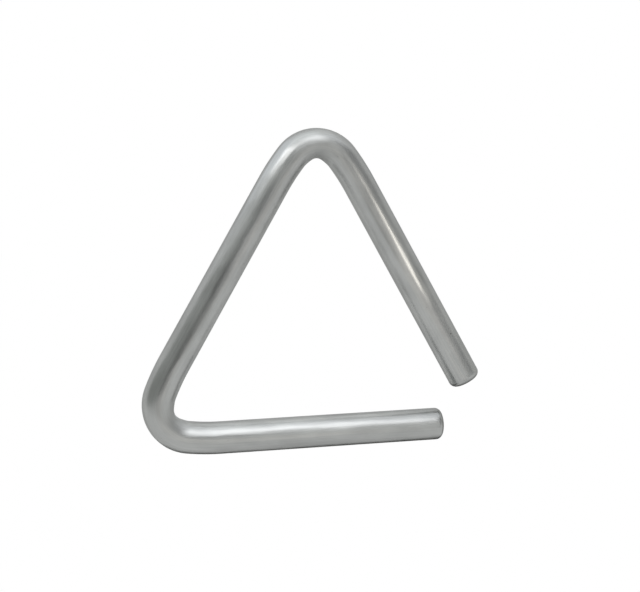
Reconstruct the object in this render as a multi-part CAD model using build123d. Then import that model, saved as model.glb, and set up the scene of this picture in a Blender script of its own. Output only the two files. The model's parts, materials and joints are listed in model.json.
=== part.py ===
from build123d import *
import os
from math import cos, pi, radians, sin, tan

# An open triangle: one solid round bar with rounded ends, cold bent twice round the same tool.
# It hangs in the XZ plane, its base leg level along X, with +Z up and its front facing -Y.
# The origin is the point inside the top bend where the hanging loop bears.
# Lengths are in mm and angles in degrees.

# Bar
rod_diameter = 9.5  # the usual 3/8 in drawn bar
end_round = 1.85  # rounding of the rim at both cut ends

# Legs, measured on the bar's axis from the corners where the straight axes would cross
base_leg = 93.8  # lower corner to the cut end
closed_side = 112.3  # lower corner to the top corner
open_leg = 94.2  # top corner to the cut end
lower_angle = 58.6
top_angle = 59.0

# Bends
former_radius = 4.9  # pin that the inside of the bar wraps round
lead_in_radius = 66.5  # slack curve where the bar leaves the pin
lead_in_turn = 8.3  # turn of each slack curve
former_bite = 0.63  # depth that the pin presses into the inside of the bar
side_swell = 0.15  # bulge of each side of the bar where the pin bites
bite_fade = 4  # power of the cosine that fades the bite out along the crown
crown_stations = 17  # sections along each crown

rod_radius = rod_diameter / 2
crown_radius = former_radius + rod_radius
bench_normal = Vector(0, 0, 1)  # the bar is bent flat on the XY plane and stood up last


def setback(corner_angle):
    # Length of a leg from its corner to where the bar starts to curve.
    half_turn = radians(180 - corner_angle) / 2
    lead = radians(lead_in_turn)
    along = lead_in_radius * sin(lead) + crown_radius * (sin(half_turn) - sin(lead))
    across = lead_in_radius * (1 - cos(lead)) + crown_radius * (cos(lead) - cos(half_turn))
    return along + across * tan(half_turn)


def straight_on(before, length):
    return Line(before @ 1, before @ 1 + (before % 1) * length)


def curve_on(before, radius, turn):
    return JernArc(before @ 1, before % 1, radius, -turn)


def bend_on(before, corner_angle):
    # The axis of one bend: slack curve, crown tight round the pin, slack curve.
    lead_in = curve_on(before, lead_in_radius, lead_in_turn)
    crown = curve_on(lead_in, crown_radius, 180 - corner_angle - 2 * lead_in_turn)
    lead_out = curve_on(crown, lead_in_radius, lead_in_turn)
    return lead_in, crown, lead_out


def outward(axis, share):
    # Away from the pin, at a share of the way along a crown's axis.
    return bench_normal.cross(axis % share)


def round_bar(*axis):
    start = Plane(axis[0] @ 0, x_dir=bench_normal, z_dir=axis[0] % 0)
    return sweep(start * Circle(rod_radius), Wire(axis))


def pressed_crown(axis):
    # The outside of the bar keeps its line. The inside is flattened by the pin, most at the middle
    # of the bend, and the sides swell with it. Both fade to the round bar at the crown's ends.
    sections = []
    for station in range(crown_stations):
        share = station / (crown_stations - 1)
        fade = cos(pi * (share - 0.5)) ** bite_fade
        half_bite = former_bite * fade / 2
        centre = axis @ share + outward(axis, share) * half_bite
        plane = Plane(centre, x_dir=bench_normal, z_dir=axis % share)
        sections.append(plane * Ellipse(rod_radius + side_swell * fade, rod_radius - half_bite))
    return loft(sections)


# The bar's axis, from the base leg's cut end round to the open leg's cut end
base = Line((base_leg, 0), (setback(lower_angle), 0))
lower_in, lower_crown, lower_out = bend_on(base, lower_angle)
side = straight_on(lower_out, closed_side - setback(lower_angle) - setback(top_angle))
top_in, top_crown, top_out = bend_on(side, top_angle)
open_run = straight_on(top_out, open_leg - setback(top_angle))

# The bar
bar = round_bar(base, lower_in) + pressed_crown(lower_crown)
bar += round_bar(lower_out, side, top_in) + pressed_crown(top_crown)
bar += round_bar(top_out, open_run)
cut_ends = bar.faces().filter_by(GeomType.PLANE)
bar = fillet(cut_ends.edges(), end_round)

# Stood upright, hanging from the inside of the top bend
bearing_point = top_crown @ 0.5 - outward(top_crown, 0.5) * (rod_radius - former_bite)
triangle_rod = Plane.XZ * (Pos(-bearing_point) * bar)
triangle_rod.label = "triangle_rod"

os.makedirs("parts", exist_ok=True)
export_step(triangle_rod, "parts/triangle_rod.step")
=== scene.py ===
import bmesh
import bpy
import json
import math
from mathutils import Matrix, Quaternion, Vector


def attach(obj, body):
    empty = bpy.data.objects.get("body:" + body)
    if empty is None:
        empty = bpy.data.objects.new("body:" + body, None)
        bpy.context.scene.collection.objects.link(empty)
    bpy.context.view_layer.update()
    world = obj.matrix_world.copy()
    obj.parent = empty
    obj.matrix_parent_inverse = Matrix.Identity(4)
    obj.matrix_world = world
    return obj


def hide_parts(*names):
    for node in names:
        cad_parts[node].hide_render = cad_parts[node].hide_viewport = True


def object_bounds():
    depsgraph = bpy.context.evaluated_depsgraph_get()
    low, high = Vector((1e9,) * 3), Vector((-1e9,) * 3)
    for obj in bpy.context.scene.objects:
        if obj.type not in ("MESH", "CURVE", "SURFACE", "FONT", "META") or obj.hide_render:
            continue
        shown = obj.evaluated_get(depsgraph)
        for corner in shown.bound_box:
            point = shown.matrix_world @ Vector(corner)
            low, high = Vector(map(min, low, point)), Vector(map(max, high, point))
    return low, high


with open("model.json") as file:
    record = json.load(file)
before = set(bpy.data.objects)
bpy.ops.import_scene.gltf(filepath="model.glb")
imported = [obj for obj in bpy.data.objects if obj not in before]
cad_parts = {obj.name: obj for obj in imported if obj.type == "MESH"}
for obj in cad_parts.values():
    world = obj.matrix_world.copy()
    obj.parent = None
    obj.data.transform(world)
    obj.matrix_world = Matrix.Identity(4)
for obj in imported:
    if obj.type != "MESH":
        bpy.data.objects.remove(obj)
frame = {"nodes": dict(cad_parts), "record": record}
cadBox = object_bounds()
mounts = {mount["name"]: mount for mount in frame["record"]["mounts"]}
print("frame loaded:", sorted(frame["nodes"]))

# The bar, in metres and degrees, as it is cut and then bent round the pin
barShape = {
    "rodRadius": 0.00475,
    "endRound": 0.00185,
    "baseLeg": 0.0938,  # lower corner to the cut end, on the bar's axis
    "closedSide": 0.1123,  # lower corner to the top corner
    "openLeg": 0.0942,  # top corner to the cut end
    "lowerAngle": 58.6,
    "topAngle": 59.0,
    "pinRadius": 0.0049,
    "slackRadius": 0.0665,  # gentle curve where the bar leaves the pin
    "slackTurn": 8.3,
    "pinBite": 0.00063,  # how deep the pin presses into the inside of the bend
    "sideSwell": 0.00015,
    "biteFade": 4,  # power of the cosine that fades the bite out along the crown
    "ringVerts": 96,
    "legStep": 0.003,  # length of bar from ring to ring on a straight leg
    "slackSteps": 8,
    "crownSteps": 48,
    "rimSegments": 8,
    "faceRings": 4,  # rings of faces across each flat end
    "slip": 0.00001,  # how far a vertex may lie off the ring or face that it belongs to
    "weld": 0.000001,
}


def setback(corner):
    # length of leg lost to the bend, from the corner to where the bar starts to curve
    half = math.radians(180 - corner) / 2
    slack = math.radians(barShape["slackTurn"])
    slackRadius = barShape["slackRadius"]
    crownRadius = barShape["pinRadius"] + barShape["rodRadius"]
    along = slackRadius * math.sin(slack) + crownRadius * (math.sin(half) - math.sin(slack))
    across = slackRadius * (1 - math.cos(slack)) + crownRadius * (math.cos(slack) - math.cos(half))
    return along + across * math.tan(half)


def turned(direction, angle):
    # clockwise, seen from the front
    return Matrix.Rotation(angle, 3, "Y") @ direction


def outwardOf(heading):
    # square to the bar, towards the outside of the triangle
    return Vector((-heading.z, 0, heading.x))


def planBar():
    # straight and curved stages of the bar's axis, from the base leg's cut end to the open leg's
    shape = barShape
    lower, top = setback(shape["lowerAngle"]), setback(shape["topAngle"])
    crownRadius = shape["pinRadius"] + shape["rodRadius"]
    slack = (shape["slackRadius"], shape["slackTurn"], shape["slackSteps"], False)
    lowerTurn = 180 - shape["lowerAngle"] - 2 * shape["slackTurn"]
    topTurn = 180 - shape["topAngle"] - 2 * shape["slackTurn"]
    lowerBend = [slack, (crownRadius, lowerTurn, shape["crownSteps"], True), slack]
    topBend = [slack, (crownRadius, topTurn, shape["crownSteps"], True), slack]
    legs = [shape["baseLeg"] - lower, shape["closedSide"] - lower - top, shape["openLeg"] - top]
    baseMount = mounts["base_leg_end"]
    wallHalf = baseMount["dims"]["length_mm"] / 2000  # half the straight wall, in metres
    place = Vector(baseMount["pos_m"]) + Vector(baseMount["axis"]) * (wallHalf + shape["endRound"])
    heading = -Vector(baseMount["axis"])
    stages = []
    along = 0.0
    for leg, bend in zip(legs, [lowerBend, topBend, []]):
        steps = round(leg / shape["legStep"])
        stages.append({
            "start": place, "heading": heading, "along": along, "length": leg, "steps": steps, "turn": 0,
        })
        place = place + heading * leg
        along += leg
        for radius, degrees, steps, crown in bend:
            turn = math.radians(degrees)
            pivot = place - outwardOf(heading) * radius
            stages.append({
                "start": place, "heading": heading, "along": along, "length": radius * turn, "steps": steps,
                "turn": turn, "radius": radius, "pivot": pivot, "crown": crown,
            })
            heading = turned(heading, turn)
            place = pivot + outwardOf(heading) * radius
            along += radius * turn
    return stages


def lengthOf(stages):
    return stages[-1]["along"] + stages[-1]["length"]


def selectVerts(bar, wanted):
    bpy.ops.mesh.select_mode(type="VERT")
    bpy.ops.mesh.select_all(action="DESELECT")
    mesh = bmesh.from_edit_mesh(bar.data)
    for vert in mesh.verts:
        vert.select = wanted(vert.co)
    mesh.select_flush_mode()
    bmesh.update_edit_mesh(bar.data)


def pressCrown(bar, stage):
    # ring by ring: the pin flattens the inside, the outside keeps its line and the sides swell
    shape = barShape
    diameter = 2 * shape["rodRadius"]
    for step in range(1, stage["steps"]):
        share = step / stage["steps"]
        heading = turned(stage["heading"], stage["turn"] * share)
        outward = outwardOf(heading)
        centre = stage["pivot"] + outward * stage["radius"]
        fade = math.cos(math.pi * (share - 0.5)) ** shape["biteFade"]

        def inRing(point):
            off = point - centre
            return abs(off.dot(heading)) < shape["slip"] and off.length < diameter

        selectVerts(bar, inRing)
        flat = 1 - shape["pinBite"] * fade / diameter
        swell = 1 + shape["sideSwell"] * fade / shape["rodRadius"]
        bpy.ops.transform.resize(
            value=(flat, swell, 1), orient_type="GLOBAL", orient_matrix_type="GLOBAL",
            orient_matrix=(outward, (0, 1, 0), heading),
            center_override=centre + outward * shape["rodRadius"],
        )


def finishEnds(bar, stages):
    # both cut ends: the rim is rounded over, then the flat face is inset in rings
    shape = barShape
    first, last = stages[0], stages[-1]
    cuts = [(first["start"], -first["heading"])]
    cuts.append((last["start"] + last["heading"] * last["length"], last["heading"]))
    for point, facing in cuts:

        def onCut(co):
            off = co - point
            return abs(off.dot(facing)) < shape["slip"] and off.length < 2 * shape["rodRadius"]

        selectVerts(bar, onCut)
        bpy.ops.mesh.select_mode(type="EDGE")
        bpy.ops.mesh.bevel(
            offset=shape["endRound"], segments=shape["rimSegments"], profile=0.5, affect="EDGES",
        )
        selectVerts(bar, onCut)
        bpy.ops.mesh.select_mode(type="FACE")
        ringWidth = (shape["rodRadius"] - shape["endRound"]) / (shape["faceRings"] + 1)
        for _ in range(shape["faceRings"]):
            bpy.ops.mesh.inset(thickness=ringWidth, depth=0)


def drawBar(stages):
    shape = barShape
    bpy.ops.object.select_all(action="DESELECT")
    bpy.ops.mesh.primitive_circle_add(
        vertices=shape["ringVerts"], radius=shape["rodRadius"], fill_type="NGON",
        location=stages[0]["start"], rotation=(0, math.pi / 2, 0),
    )
    bar = bpy.context.object
    bar.name = "triangleBar"
    bpy.ops.object.transform_apply(location=True, rotation=True, scale=True)
    bpy.ops.object.mode_set(mode="EDIT")
    bpy.ops.mesh.select_mode(type="FACE")
    bpy.ops.mesh.select_all(action="SELECT")
    for stage in stages:  # the open end's face is drawn along each leg and spun round each bend
        if stage["turn"]:
            bpy.ops.mesh.spin(
                steps=stage["steps"], angle=stage["turn"], center=stage["pivot"], axis=(0, -1, 0),
            )
        else:
            for _ in range(stage["steps"]):
                stride = stage["heading"] * (stage["length"] / stage["steps"])
                bpy.ops.mesh.extrude_region_move(TRANSFORM_OT_translate={"value": stride})
    for stage in stages:
        if stage["turn"] and stage["crown"]:
            pressCrown(bar, stage)
    finishEnds(bar, stages)
    bpy.ops.mesh.select_all(action="SELECT")
    bpy.ops.mesh.remove_doubles(threshold=shape["weld"])
    bpy.ops.mesh.normals_make_consistent(inside=False)
    bpy.ops.object.mode_set(mode="OBJECT")
    bpy.ops.object.shade_smooth()
    return bar


def unbend(point, stages):
    # where a point of the bent bar lay on the straight one: along it, outward and sideways,
    # and how hard it was bent there
    reach = 2 * barShape["rodRadius"]
    slip = barShape["slip"]
    for stage in stages:
        if not stage["turn"]:
            off = point - stage["start"]
            along = off.dot(stage["heading"])
            outward = off.dot(outwardOf(stage["heading"]))
            if -slip <= along <= stage["length"] + slip and abs(outward) < reach:
                return stage["along"] + along, outward, point.y, 0.0
        else:
            arm = point - stage["pivot"]
            first = outwardOf(stage["heading"])
            angle = math.atan2(arm.dot(stage["heading"]), arm.dot(first))
            outward = math.hypot(arm.x, arm.z) - stage["radius"]
            share = angle / stage["turn"]
            if -slip <= share <= 1 + slip and abs(outward) < reach:
                work = math.cos(math.pi * (share - 0.5)) if stage["crown"] else 0.0
                return stage["along"] + share * stage["length"], outward, point.y, work
    raise ValueError(f"no stage of the bar holds {point}")


def mapBar(bar, stages):
    # straightBar: place on the straight bar
    # bendWork: how hard it was bent there
    # bendStrain: above 0 where the bend stretched it, below 0 where it squeezed it
    # rimShare: 0 to 1 over the rounded rim, and 1 on the flat end
    # barFlow: U runs round the bar and V along it, and straight across the flat ends
    mesh = bar.data
    radius = barShape["rodRadius"]
    girth = 2 * math.pi * radius
    barLength = lengthOf(stages)
    mesh.attributes.new("straightBar", "FLOAT_VECTOR", "POINT")
    for name in ("bendWork", "bendStrain", "rimShare"):
        mesh.attributes.new(name, "FLOAT", "POINT")
    mesh.uv_layers.new(name="barFlow")
    layers = mesh.attributes
    flow = mesh.uv_layers["barFlow"]
    places = []
    for vert in mesh.vertices:
        along, outward, side, work = unbend(vert.co, stages)
        places.append((along, outward, side))
        fromEnd = min(along, barLength - along)
        layers["straightBar"].data[vert.index].vector = (along, outward, side)
        layers["bendWork"].data[vert.index].value = work
        layers["bendStrain"].data[vert.index].value = work * outward / radius
        layers["rimShare"].data[vert.index].value = max(0, 1 - fromEnd / barShape["endRound"])
    for face in mesh.polygons:
        ends = [places[index] for index in face.vertices]
        flat = all(min(along, barLength - along) < barShape["slip"] for along, _, _ in ends)
        turns = [math.atan2(side, -outward) / (2 * math.pi) + 0.5 for _, outward, side in ends]
        crosses = max(turns) - min(turns) > 0.5
        for loop, (along, outward, side), turn in zip(face.loop_indices, ends, turns):
            if flat:
                flow.data[loop].uv = (outward / girth, side / girth)
            else:
                flow.data[loop].uv = (turn + 1 if crosses and turn < 0.5 else turn, along / girth)


stages = planBar()
bar = drawBar(stages)
print("bar drawn and bent:", len(bar.data.polygons), "faces,", round(1000 * lengthOf(stages)), "mm")
mapBar(bar, stages)
print("bar mapped:", [layer.name for layer in bar.data.uv_layers])

# Satin steel, drawn along the bar. Lengths are in metres.
steelFinish = {
    "greySteel": (0.314, 0.322, 0.316, 1),
    "paleSteel": (0.391, 0.400, 0.392, 1),
    "pitSteel": (0.10, 0.10, 0.095, 1),
    "groundShadeSteel": (0.155, 0.157, 0.153, 1),  # the ends, ground after the bar is cut, and darker: partly their finish, partly painted shade for the dark line round the rim
    "groundShadePale": (0.225, 0.228, 0.222, 1),
    "edgeTint": (0.6, 0.6, 0.6, 1),
    "roughness": 0.297,
    "roughSpread": 0.03,
    "bentRough": 0.07,  # added all round a bend
    "squeezedRough": 0.20,  # added on the inside of a bend
    "groundRough": 0.08,  # added on the ground ends
    "anisotropic": 0.55,
    "cloudShare": 0.6,  # of the tone, with the lines as the rest
    "toneRange": (0.3, 0.7),  # of the noise, from grey to pale
    "stretchRange": (0.1, 1),  # of the strain, where the grain comes up
    "squeezeRange": (-0.05, -0.7),  # of the strain, where the wrinkles come up
    "groundShadeRange": (0.35, 0.75),  # of the rim share, where the grinding and the painted shade start
    "flatRange": (0.93, 1),  # of the rim share, where the grinding lines are cut in
    "clouds": {"length": 0.010, "width": 0.004, "detail": 3},
    "lines": {"length": 0.030, "width": 0.00030, "detail": 3, "depth": 0.0000025},
    "ripple": {"length": 0.018, "width": 0.0035, "detail": 2, "depth": 0.00020},
    "grain": {"length": 0.0005, "width": 0.0005, "detail": 2, "depth": 0.000008},  # outside of a bend
    "wrinkles": {"length": 0.0006, "width": 0.004, "detail": 1, "depth": 0.000012},  # inside of a bend
    "grind": {"length": 0.00045, "width": 0.012, "detail": 2, "depth": 0.000005},  # across the ends
    "pitSpacing": 0.0022,
    "pitRadius": 0.00016,
    "pitShare": 0.10,
    "pitDepth": 0.00003,
    "marks": [  # dings: along the bar, degrees from its outside to its front, out from its axis
        {"along": 0.2526, "turn": 68, "out": 0.00475, "radius": 0.00042},
        {"along": 0.0004, "turn": 100, "out": 0.0040, "radius": 0.00070},
    ],
}


def addNode(tree, kind, inputs=None, **settings):
    made = tree.nodes.new(kind)
    for name, value in settings.items():
        setattr(made, name, value)
    for name, value in (inputs or {}).items():
        if isinstance(value, bpy.types.NodeSocket):
            tree.links.new(value, made.inputs[name])
        else:
            made.inputs[name].default_value = value
    return made


def mathOf(tree, operation, first, second):
    return addNode(tree, "ShaderNodeMath", {0: first, 1: second}, operation=operation).outputs["Value"]


def rampOf(tree, value, low, high, atLow=0.0, atHigh=1.0):
    inputs = {"Value": value, "From Min": low, "From Max": high, "To Min": atLow, "To Max": atHigh}
    return addNode(tree, "ShaderNodeMapRange", inputs, interpolation_type="SMOOTHSTEP").outputs["Result"]


def mixColour(tree, factor, first, second):
    inputs = {"Factor": factor, "A": first, "B": second}
    return addNode(tree, "ShaderNodeMix", inputs, data_type="RGBA").outputs["Result"]


def noiseOf(tree, place, scale, detail):
    spread = addNode(tree, "ShaderNodeMapping", {"Vector": place, "Scale": scale}).outputs["Vector"]
    inputs = {"Vector": spread, "Scale": 1, "Detail": detail}
    return addNode(tree, "ShaderNodeTexNoise", inputs).outputs["Fac"]


def barNoise(tree, place, spec):
    # noise on the straight bar, so that it follows the bends
    scale = (1 / spec["length"], 1 / spec["width"], 1 / spec["width"])
    return noiseOf(tree, place, scale, spec["detail"])


def smallPits(tree, place):
    # a few round pits, one to a cell and only in some cells
    finish = steelFinish
    cells = addNode(tree, "ShaderNodeTexVoronoi", {"Vector": place, "Scale": 1 / finish["pitSpacing"]})
    chance = addNode(tree, "ShaderNodeSeparateColor", {"Color": cells.outputs["Color"]}).outputs["Red"]
    chosen = rampOf(tree, chance, 1 - finish["pitShare"], 1)
    reach = finish["pitRadius"] / finish["pitSpacing"]
    return mathOf(tree, "MULTIPLY", chosen, rampOf(tree, cells.outputs["Distance"], reach, 0))


def dings(tree, place):
    # 1 in the middle of a ding and 0 away from them all
    deepest = None
    for mark in steelFinish["marks"]:
        turn = math.radians(mark["turn"])
        spot = (mark["along"], mark["out"] * math.cos(turn), -mark["out"] * math.sin(turn))
        inputs = {0: place, 1: spot}
        gap = addNode(tree, "ShaderNodeVectorMath", inputs, operation="DISTANCE").outputs["Value"]
        here = rampOf(tree, gap, mark["radius"], 0)
        deepest = here if deepest is None else mathOf(tree, "MAXIMUM", deepest, here)
    return deepest


def grindLines(tree, place):
    # straight lines across the bar's section
    spec = steelFinish["grind"]
    scale = (1, 1 / spec["width"], 1 / spec["length"])
    return noiseOf(tree, place, scale, spec["detail"])


def makeSteel():
    finish = steelFinish
    steel = bpy.data.materials.new("satinSteel")
    steel.use_nodes = True
    tree = steel.node_tree
    shader = tree.nodes["Principled BSDF"]
    place = addNode(tree, "ShaderNodeAttribute", attribute_name="straightBar").outputs["Vector"]
    work = addNode(tree, "ShaderNodeAttribute", attribute_name="bendWork").outputs["Fac"]
    strain = addNode(tree, "ShaderNodeAttribute", attribute_name="bendStrain").outputs["Fac"]
    rimShareFac = addNode(tree, "ShaderNodeAttribute", attribute_name="rimShare").outputs["Fac"]
    noise = {}
    for name in ("clouds", "lines", "ripple", "grain", "wrinkles"):
        noise[name] = barNoise(tree, place, finish[name])
    stretched = rampOf(tree, strain, *finish["stretchRange"])
    squeezed = rampOf(tree, strain, *finish["squeezeRange"])
    groundAndShade = rampOf(tree, rimShareFac, *finish["groundShadeRange"])
    flatEnd = rampOf(tree, rimShareFac, *finish["flatRange"])
    grind = grindLines(tree, place)
    pits = mathOf(tree, "MAXIMUM", smallPits(tree, place), dings(tree, place))

    # colour: grey to pale with the clouds and lines, darker on the ground ends and rim, partly as painted
    # shade, and dark in the pits
    toneRange = finish["toneRange"]
    clouds = mathOf(tree, "MULTIPLY", noise["clouds"], finish["cloudShare"])
    lines = mathOf(tree, "MULTIPLY", noise["lines"], 1 - finish["cloudShare"])
    tone = mathOf(tree, "ADD", clouds, lines)
    bare = mixColour(tree, rampOf(tree, tone, *toneRange), finish["greySteel"], finish["paleSteel"])
    # painted shade: the rim and the flat ends are coloured darker, partly for their ground finish and
    # partly to stand in for the dark line round the rim
    ends = mixColour(tree, rampOf(tree, grind, *toneRange), finish["groundShadeSteel"], finish["groundShadePale"])
    dulledAndShaded = mixColour(tree, groundAndShade, bare, ends)
    colour = mixColour(tree, pits, dulledAndShaded, finish["pitSteel"])
    tree.links.new(colour, shader.inputs["Base Color"])

    # roughness: patchy, duller round the bends, most where the pin squeezed the skin, and on the ends
    smoothest = finish["roughness"] - finish["roughSpread"] / 2
    roughest = finish["roughness"] + finish["roughSpread"] / 2
    patchy = rampOf(tree, tone, *toneRange, smoothest, roughest)
    bent = mathOf(tree, "ADD", patchy, mathOf(tree, "MULTIPLY", work, finish["bentRough"]))
    pressed = mathOf(tree, "ADD", bent, mathOf(tree, "MULTIPLY", squeezed, finish["squeezedRough"]))
    rough = mathOf(tree, "ADD", pressed, mathOf(tree, "MULTIPLY", groundAndShade, finish["groundRough"]))
    tree.links.new(rough, shader.inputs["Roughness"])

    # relief, in metres: each layer's height and depth, and where it shows
    relief = mathOf(tree, "MULTIPLY", noise["ripple"], finish["ripple"]["depth"])
    layers = [
        (noise["lines"], finish["lines"]["depth"], None),
        (noise["grain"], finish["grain"]["depth"], stretched),
        (noise["wrinkles"], finish["wrinkles"]["depth"], squeezed),
        (grind, finish["grind"]["depth"], flatEnd),
        (pits, -finish["pitDepth"], None),
    ]
    for height, depth, share in layers:
        layer = mathOf(tree, "MULTIPLY", height, depth)
        if share is not None:
            layer = mathOf(tree, "MULTIPLY", layer, share)
        relief = mathOf(tree, "ADD", relief, layer)
    bump = addNode(tree, "ShaderNodeBump", {"Height": relief, "Strength": 1, "Distance": 1})
    tree.links.new(bump.outputs["Normal"], shader.inputs["Normal"])

    tangent = addNode(tree, "ShaderNodeTangent", direction_type="UV_MAP", uv_map="barFlow")
    tree.links.new(tangent.outputs["Tangent"], shader.inputs["Tangent"])
    shader.inputs["Metallic"].default_value = 1
    shader.inputs["Anisotropic"].default_value = finish["anisotropic"]
    shader.inputs["Specular Tint"].default_value = finish["edgeTint"]
    return steel


bar.data.materials.clear()
bar.data.materials.append(makeSteel())
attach(bar, "root")
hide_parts("triangle_rod")
print("bar finished in satin steel")

# Studio: azimuth 0 is the front and 90 the right, elevation is above the horizon, sizes are full angles,
# all in degrees as seen from the middle of the triangle or from the lamp's own aim. Reach and aim are in
# metres, and a level of 1 is white.
studio = {
    "floorHeight": -0.60,
    "floorSize": 40,
    "floorColour": (1, 1, 1, 1),
    "roomColour": (1, 1, 1, 1),
    "roomLevel": 1,
    "lamps": [
        {"name": "wideSoftbox", "azimuth": -35, "elevation": 40.5, "tilt": -19, "width": 44, "height": 9,
         "reach": 0.60, "level": 3.5, "colour": (1.005, 0.995, 1.005)},
        {"name": "warmLamp", "azimuth": 22, "elevation": 3.2, "tilt": 0, "width": 2.2, "height": 2.6,
         "reach": 0.55, "level": 124, "colour": (1.09, 1.02, 0.94), "aim": (0.026, 0, -0.035)},
        {"name": "sideLamp", "azimuth": 52, "elevation": 12, "tilt": 15, "width": 11, "height": 5,
         "reach": 0.60, "level": 1.2, "colour": (1.06, 1.02, 0.93)},
    ],
    "panels": [
        {"name": "rightSoftbox", "azimuth": 10.5, "elevation": 41.5, "tilt": 14, "width": 25, "height": 36,
         "reach": 0.60, "level": 3.2, "colour": (0.995, 0.995, 1.02)},
        {"name": "highSoftbox", "azimuth": 46, "elevation": 56, "tilt": 0, "width": 44, "height": 28,
         "reach": 0.62, "level": 1.4, "colour": (0.98, 0.995, 1.03)},
        {"name": "topSoftbox", "azimuth": -40, "elevation": 78, "tilt": 50, "width": 46, "height": 52,
         "reach": 0.61, "level": 1.65, "colour": (0.98, 1.0, 1.015)},
        {"name": "leftSoftbox", "azimuth": -95, "elevation": 54, "tilt": 10, "width": 64, "height": 28,
         "reach": 0.62, "level": 1.55, "colour": (0.965, 0.995, 1.04)},
        {"name": "endSoftbox", "azimuth": 120, "elevation": 66, "tilt": 0, "width": 36, "height": 20,
         "reach": 0.63, "level": 1.5, "colour": (1.0, 1.0, 1.0)},
        {"name": "baseReflector", "azimuth": 28, "elevation": -7.6, "tilt": 0, "width": 27.5,
         "height": 19.4, "reach": 0.148, "level": 1.05, "colour": (1.03, 1.0, 0.98)},
        {"name": "lowReflector", "azimuth": -4, "elevation": -19, "tilt": 0, "width": 40, "height": 20,
         "reach": 0.62, "level": 1.17, "colour": (1.03, 1.0, 0.97)},
        {"name": "baseStrip", "azimuth": 18, "elevation": -30, "tilt": 0, "width": 60, "height": 10,
         "reach": 0.073, "level": 1.05, "colour": (0.99, 1.0, 1.0)},
        {"name": "leftFlag", "azimuth": -6, "elevation": -10, "tilt": -31, "width": 20, "height": 15,
         "reach": 0.092, "level": 0.40, "colour": (1.0, 1.0, 0.98)},
        {"name": "lampFlag", "azimuth": 19, "elevation": 1, "tilt": 0, "width": 13.5, "height": 20,
         "reach": 0.326, "level": 0.46, "colour": (1.0, 1.0, 0.98)},
        {"name": "blackCard", "azimuth": -9.5, "elevation": 4, "tilt": 0, "width": 29, "height": 20,
         "reach": 0.62, "level": 0.12, "colour": (1.0, 1.0, 1.0)},
        {"name": "rightCard", "azimuth": 50, "elevation": 19, "tilt": -8, "width": 48, "height": 32,
         "reach": 0.64, "level": 0.40, "colour": (0.99, 1.0, 1.02)},
        {"name": "rightLowCard", "azimuth": 34, "elevation": -6, "tilt": 28, "width": 27, "height": 19.4,
         "reach": 0.66, "level": 0.58, "colour": (0.99, 1.0, 0.98)},
        {"name": "frontCard", "azimuth": -48, "elevation": 15, "tilt": 0, "width": 100, "height": 42,
         "reach": 0.68, "level": 0.46, "colour": (0.97, 1.0, 0.97)},
        {"name": "sideCard", "azimuth": 104, "elevation": -2, "tilt": -40, "width": 70, "height": 31,
         "reach": 0.60, "level": 0.90, "colour": (1.0, 1.0, 0.98)},
        {"name": "underCard", "azimuth": 25, "elevation": -46, "tilt": 0, "width": 50, "height": 22,
         "reach": 0.60, "level": 0.90, "colour": (1.0, 1.0, 1.0)},
        {"name": "lowCard", "azimuth": 168, "elevation": -47, "tilt": 0, "width": 54, "height": 31,
         "reach": 0.50, "level": 0.04, "colour": (1.0, 1.0, 1.0)},
        {"name": "downCard", "azimuth": 85, "elevation": -76, "tilt": 0, "width": 44, "height": 20,
         "reach": 0.52, "level": 0.88, "colour": (1.0, 1.0, 1.0)},
        {"name": "backCard", "azimuth": -150, "elevation": -27, "tilt": 0, "width": 44, "height": 22,
         "reach": 0.62, "level": 0.90, "colour": (1.0, 1.0, 0.99)},
    ],
}


def aimed(spec, middle):
    # where a lamp or panel stands so that it faces the triangle, and its width and height
    azimuth, elevation = math.radians(spec["azimuth"]), math.radians(spec["elevation"])
    level = Vector((math.sin(azimuth), -math.cos(azimuth), 0))
    away = level * math.cos(elevation) + Vector((0, 0, math.sin(elevation)))
    tilt = Matrix.Rotation(math.radians(spec["tilt"]), 4, "Z")
    facing = away.to_track_quat("Z", "Y").to_matrix().to_4x4() @ tilt
    sizes = [2 * spec["reach"] * math.tan(math.radians(spec[side]) / 2) for side in ("width", "height")]
    return Matrix.Translation(middle + away * spec["reach"]) @ facing, sizes


def hangLamp(spec, middle):
    lamp = bpy.data.lights.new(spec["name"], "AREA")
    place, sizes = aimed(spec, Vector(spec.get("aim", middle)))
    lamp.shape = "RECTANGLE"
    lamp.size, lamp.size_y = sizes
    lamp.color = spec["colour"]
    lamp.energy = spec["level"] * math.pi * sizes[0] * sizes[1]
    holder = bpy.data.objects.new(spec["name"], lamp)
    bpy.context.scene.collection.objects.link(holder)
    holder.matrix_world = place
    holder.visible_camera = False
    holder.visible_diffuse = False  # the white room lights the floor


def floorMaterial(name, colour):
    material = bpy.data.materials.new(name)
    material.use_nodes = True
    shader = material.node_tree.nodes["Principled BSDF"]
    shader.inputs["Base Color"].default_value = colour
    shader.inputs["Roughness"].default_value = 1
    shader.inputs["Specular IOR Level"].default_value = 0
    return material


def glowMaterial(name, colour, level):
    material = bpy.data.materials.new(name)
    material.use_nodes = True
    tree = material.node_tree
    tree.nodes.remove(tree.nodes["Principled BSDF"])
    glow = addNode(tree, "ShaderNodeEmission", {"Color": (*colour, 1), "Strength": level})
    tree.links.new(glow.outputs["Emission"], tree.nodes["Material Output"].inputs["Surface"])
    material.cycles.emission_sampling = "NONE"  # broad and gentle, so the bar's own reflections find it
    return material


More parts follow.
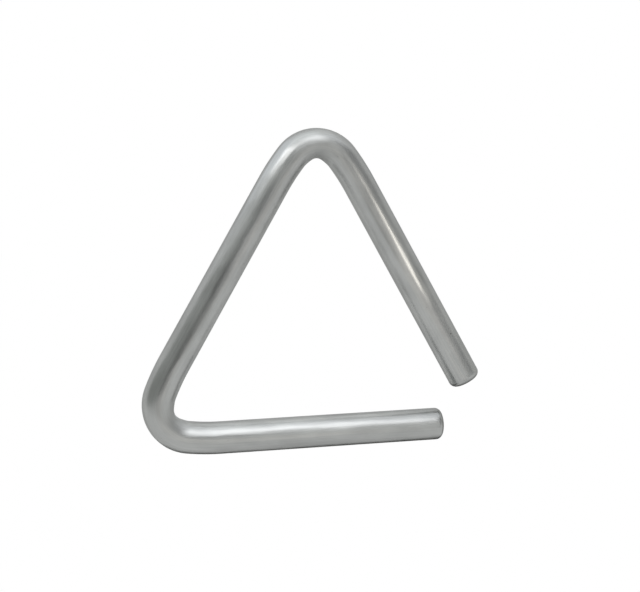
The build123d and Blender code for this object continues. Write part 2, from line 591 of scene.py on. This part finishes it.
def addSheet(name, place, sizes, material):
    bpy.ops.object.select_all(action="DESELECT")
    bpy.ops.mesh.primitive_plane_add(size=1)
    sheet = bpy.context.object
    sheet.name = name
    sheet.matrix_world = place @ Matrix.Diagonal((sizes[0], sizes[1], 1, 1))
    bpy.ops.object.transform_apply(location=True, rotation=True, scale=True)
    sheet.data.materials.append(material)
    return sheet


def standPanel(spec, middle):
    # a softbox, card or flag that only the bar's reflections see
    place, sizes = aimed(spec, middle)
    panel = addSheet(spec["name"], place, sizes, glowMaterial(spec["name"], spec["colour"], spec["level"]))
    panel.visible_camera = False
    panel.visible_diffuse = False


def setStudio():
    lowCorner, highCorner = cadBox
    middle = (lowCorner + highCorner) / 2
    floorPlace = Matrix.Translation((0, 0, studio["floorHeight"]))
    floor = floorMaterial("paleFloor", studio["floorColour"])
    addSheet("paleFloor", floorPlace, [studio["floorSize"]] * 2, floor)
    for spec in studio["lamps"]:
        hangLamp(spec, middle)
    for spec in studio["panels"]:
        standPanel(spec, middle)
    world = bpy.data.worlds.new("whiteRoom")
    world.use_nodes = True
    background = world.node_tree.nodes["Background"]
    background.inputs["Color"].default_value = studio["roomColour"]
    background.inputs["Strength"].default_value = studio["roomLevel"]
    world.cycles.sampling_method = "NONE"  # it is white all over
    bpy.context.scene.world = world


setStudio()
print("studio set:", len(studio["lamps"]), "lamps,", len(studio["panels"]), "panels")

# Camera at the photograph's angle, in metres and degrees, with the lens and the sensor in mm
photoView = {
    "place": (-0.10693, -0.45691, -0.01250),
    "aim": (-0.00033, 0, -0.04053),
    "roll": -1.804,
    "lens": 89.59,
    "sensor": 36,
    "nearest": 0.01,
}


def setCamera():
    camera = bpy.data.cameras.new("photoCamera")
    camera.lens = photoView["lens"]
    camera.sensor_width = photoView["sensor"]
    camera.clip_start = photoView["nearest"]
    holder = bpy.data.objects.new("photoCamera", camera)
    bpy.context.scene.collection.objects.link(holder)
    place = Vector(photoView["place"])
    look = (Vector(photoView["aim"]) - place).to_track_quat("-Z", "Y")
    holder.rotation_mode = "QUATERNION"
    holder.rotation_quaternion = look @ Quaternion((0, 0, 1), math.radians(photoView["roll"]))
    holder.location = place
    bpy.context.scene.camera = holder


setCamera()
bpy.context.scene.view_settings.view_transform = "Standard"
print("camera set")
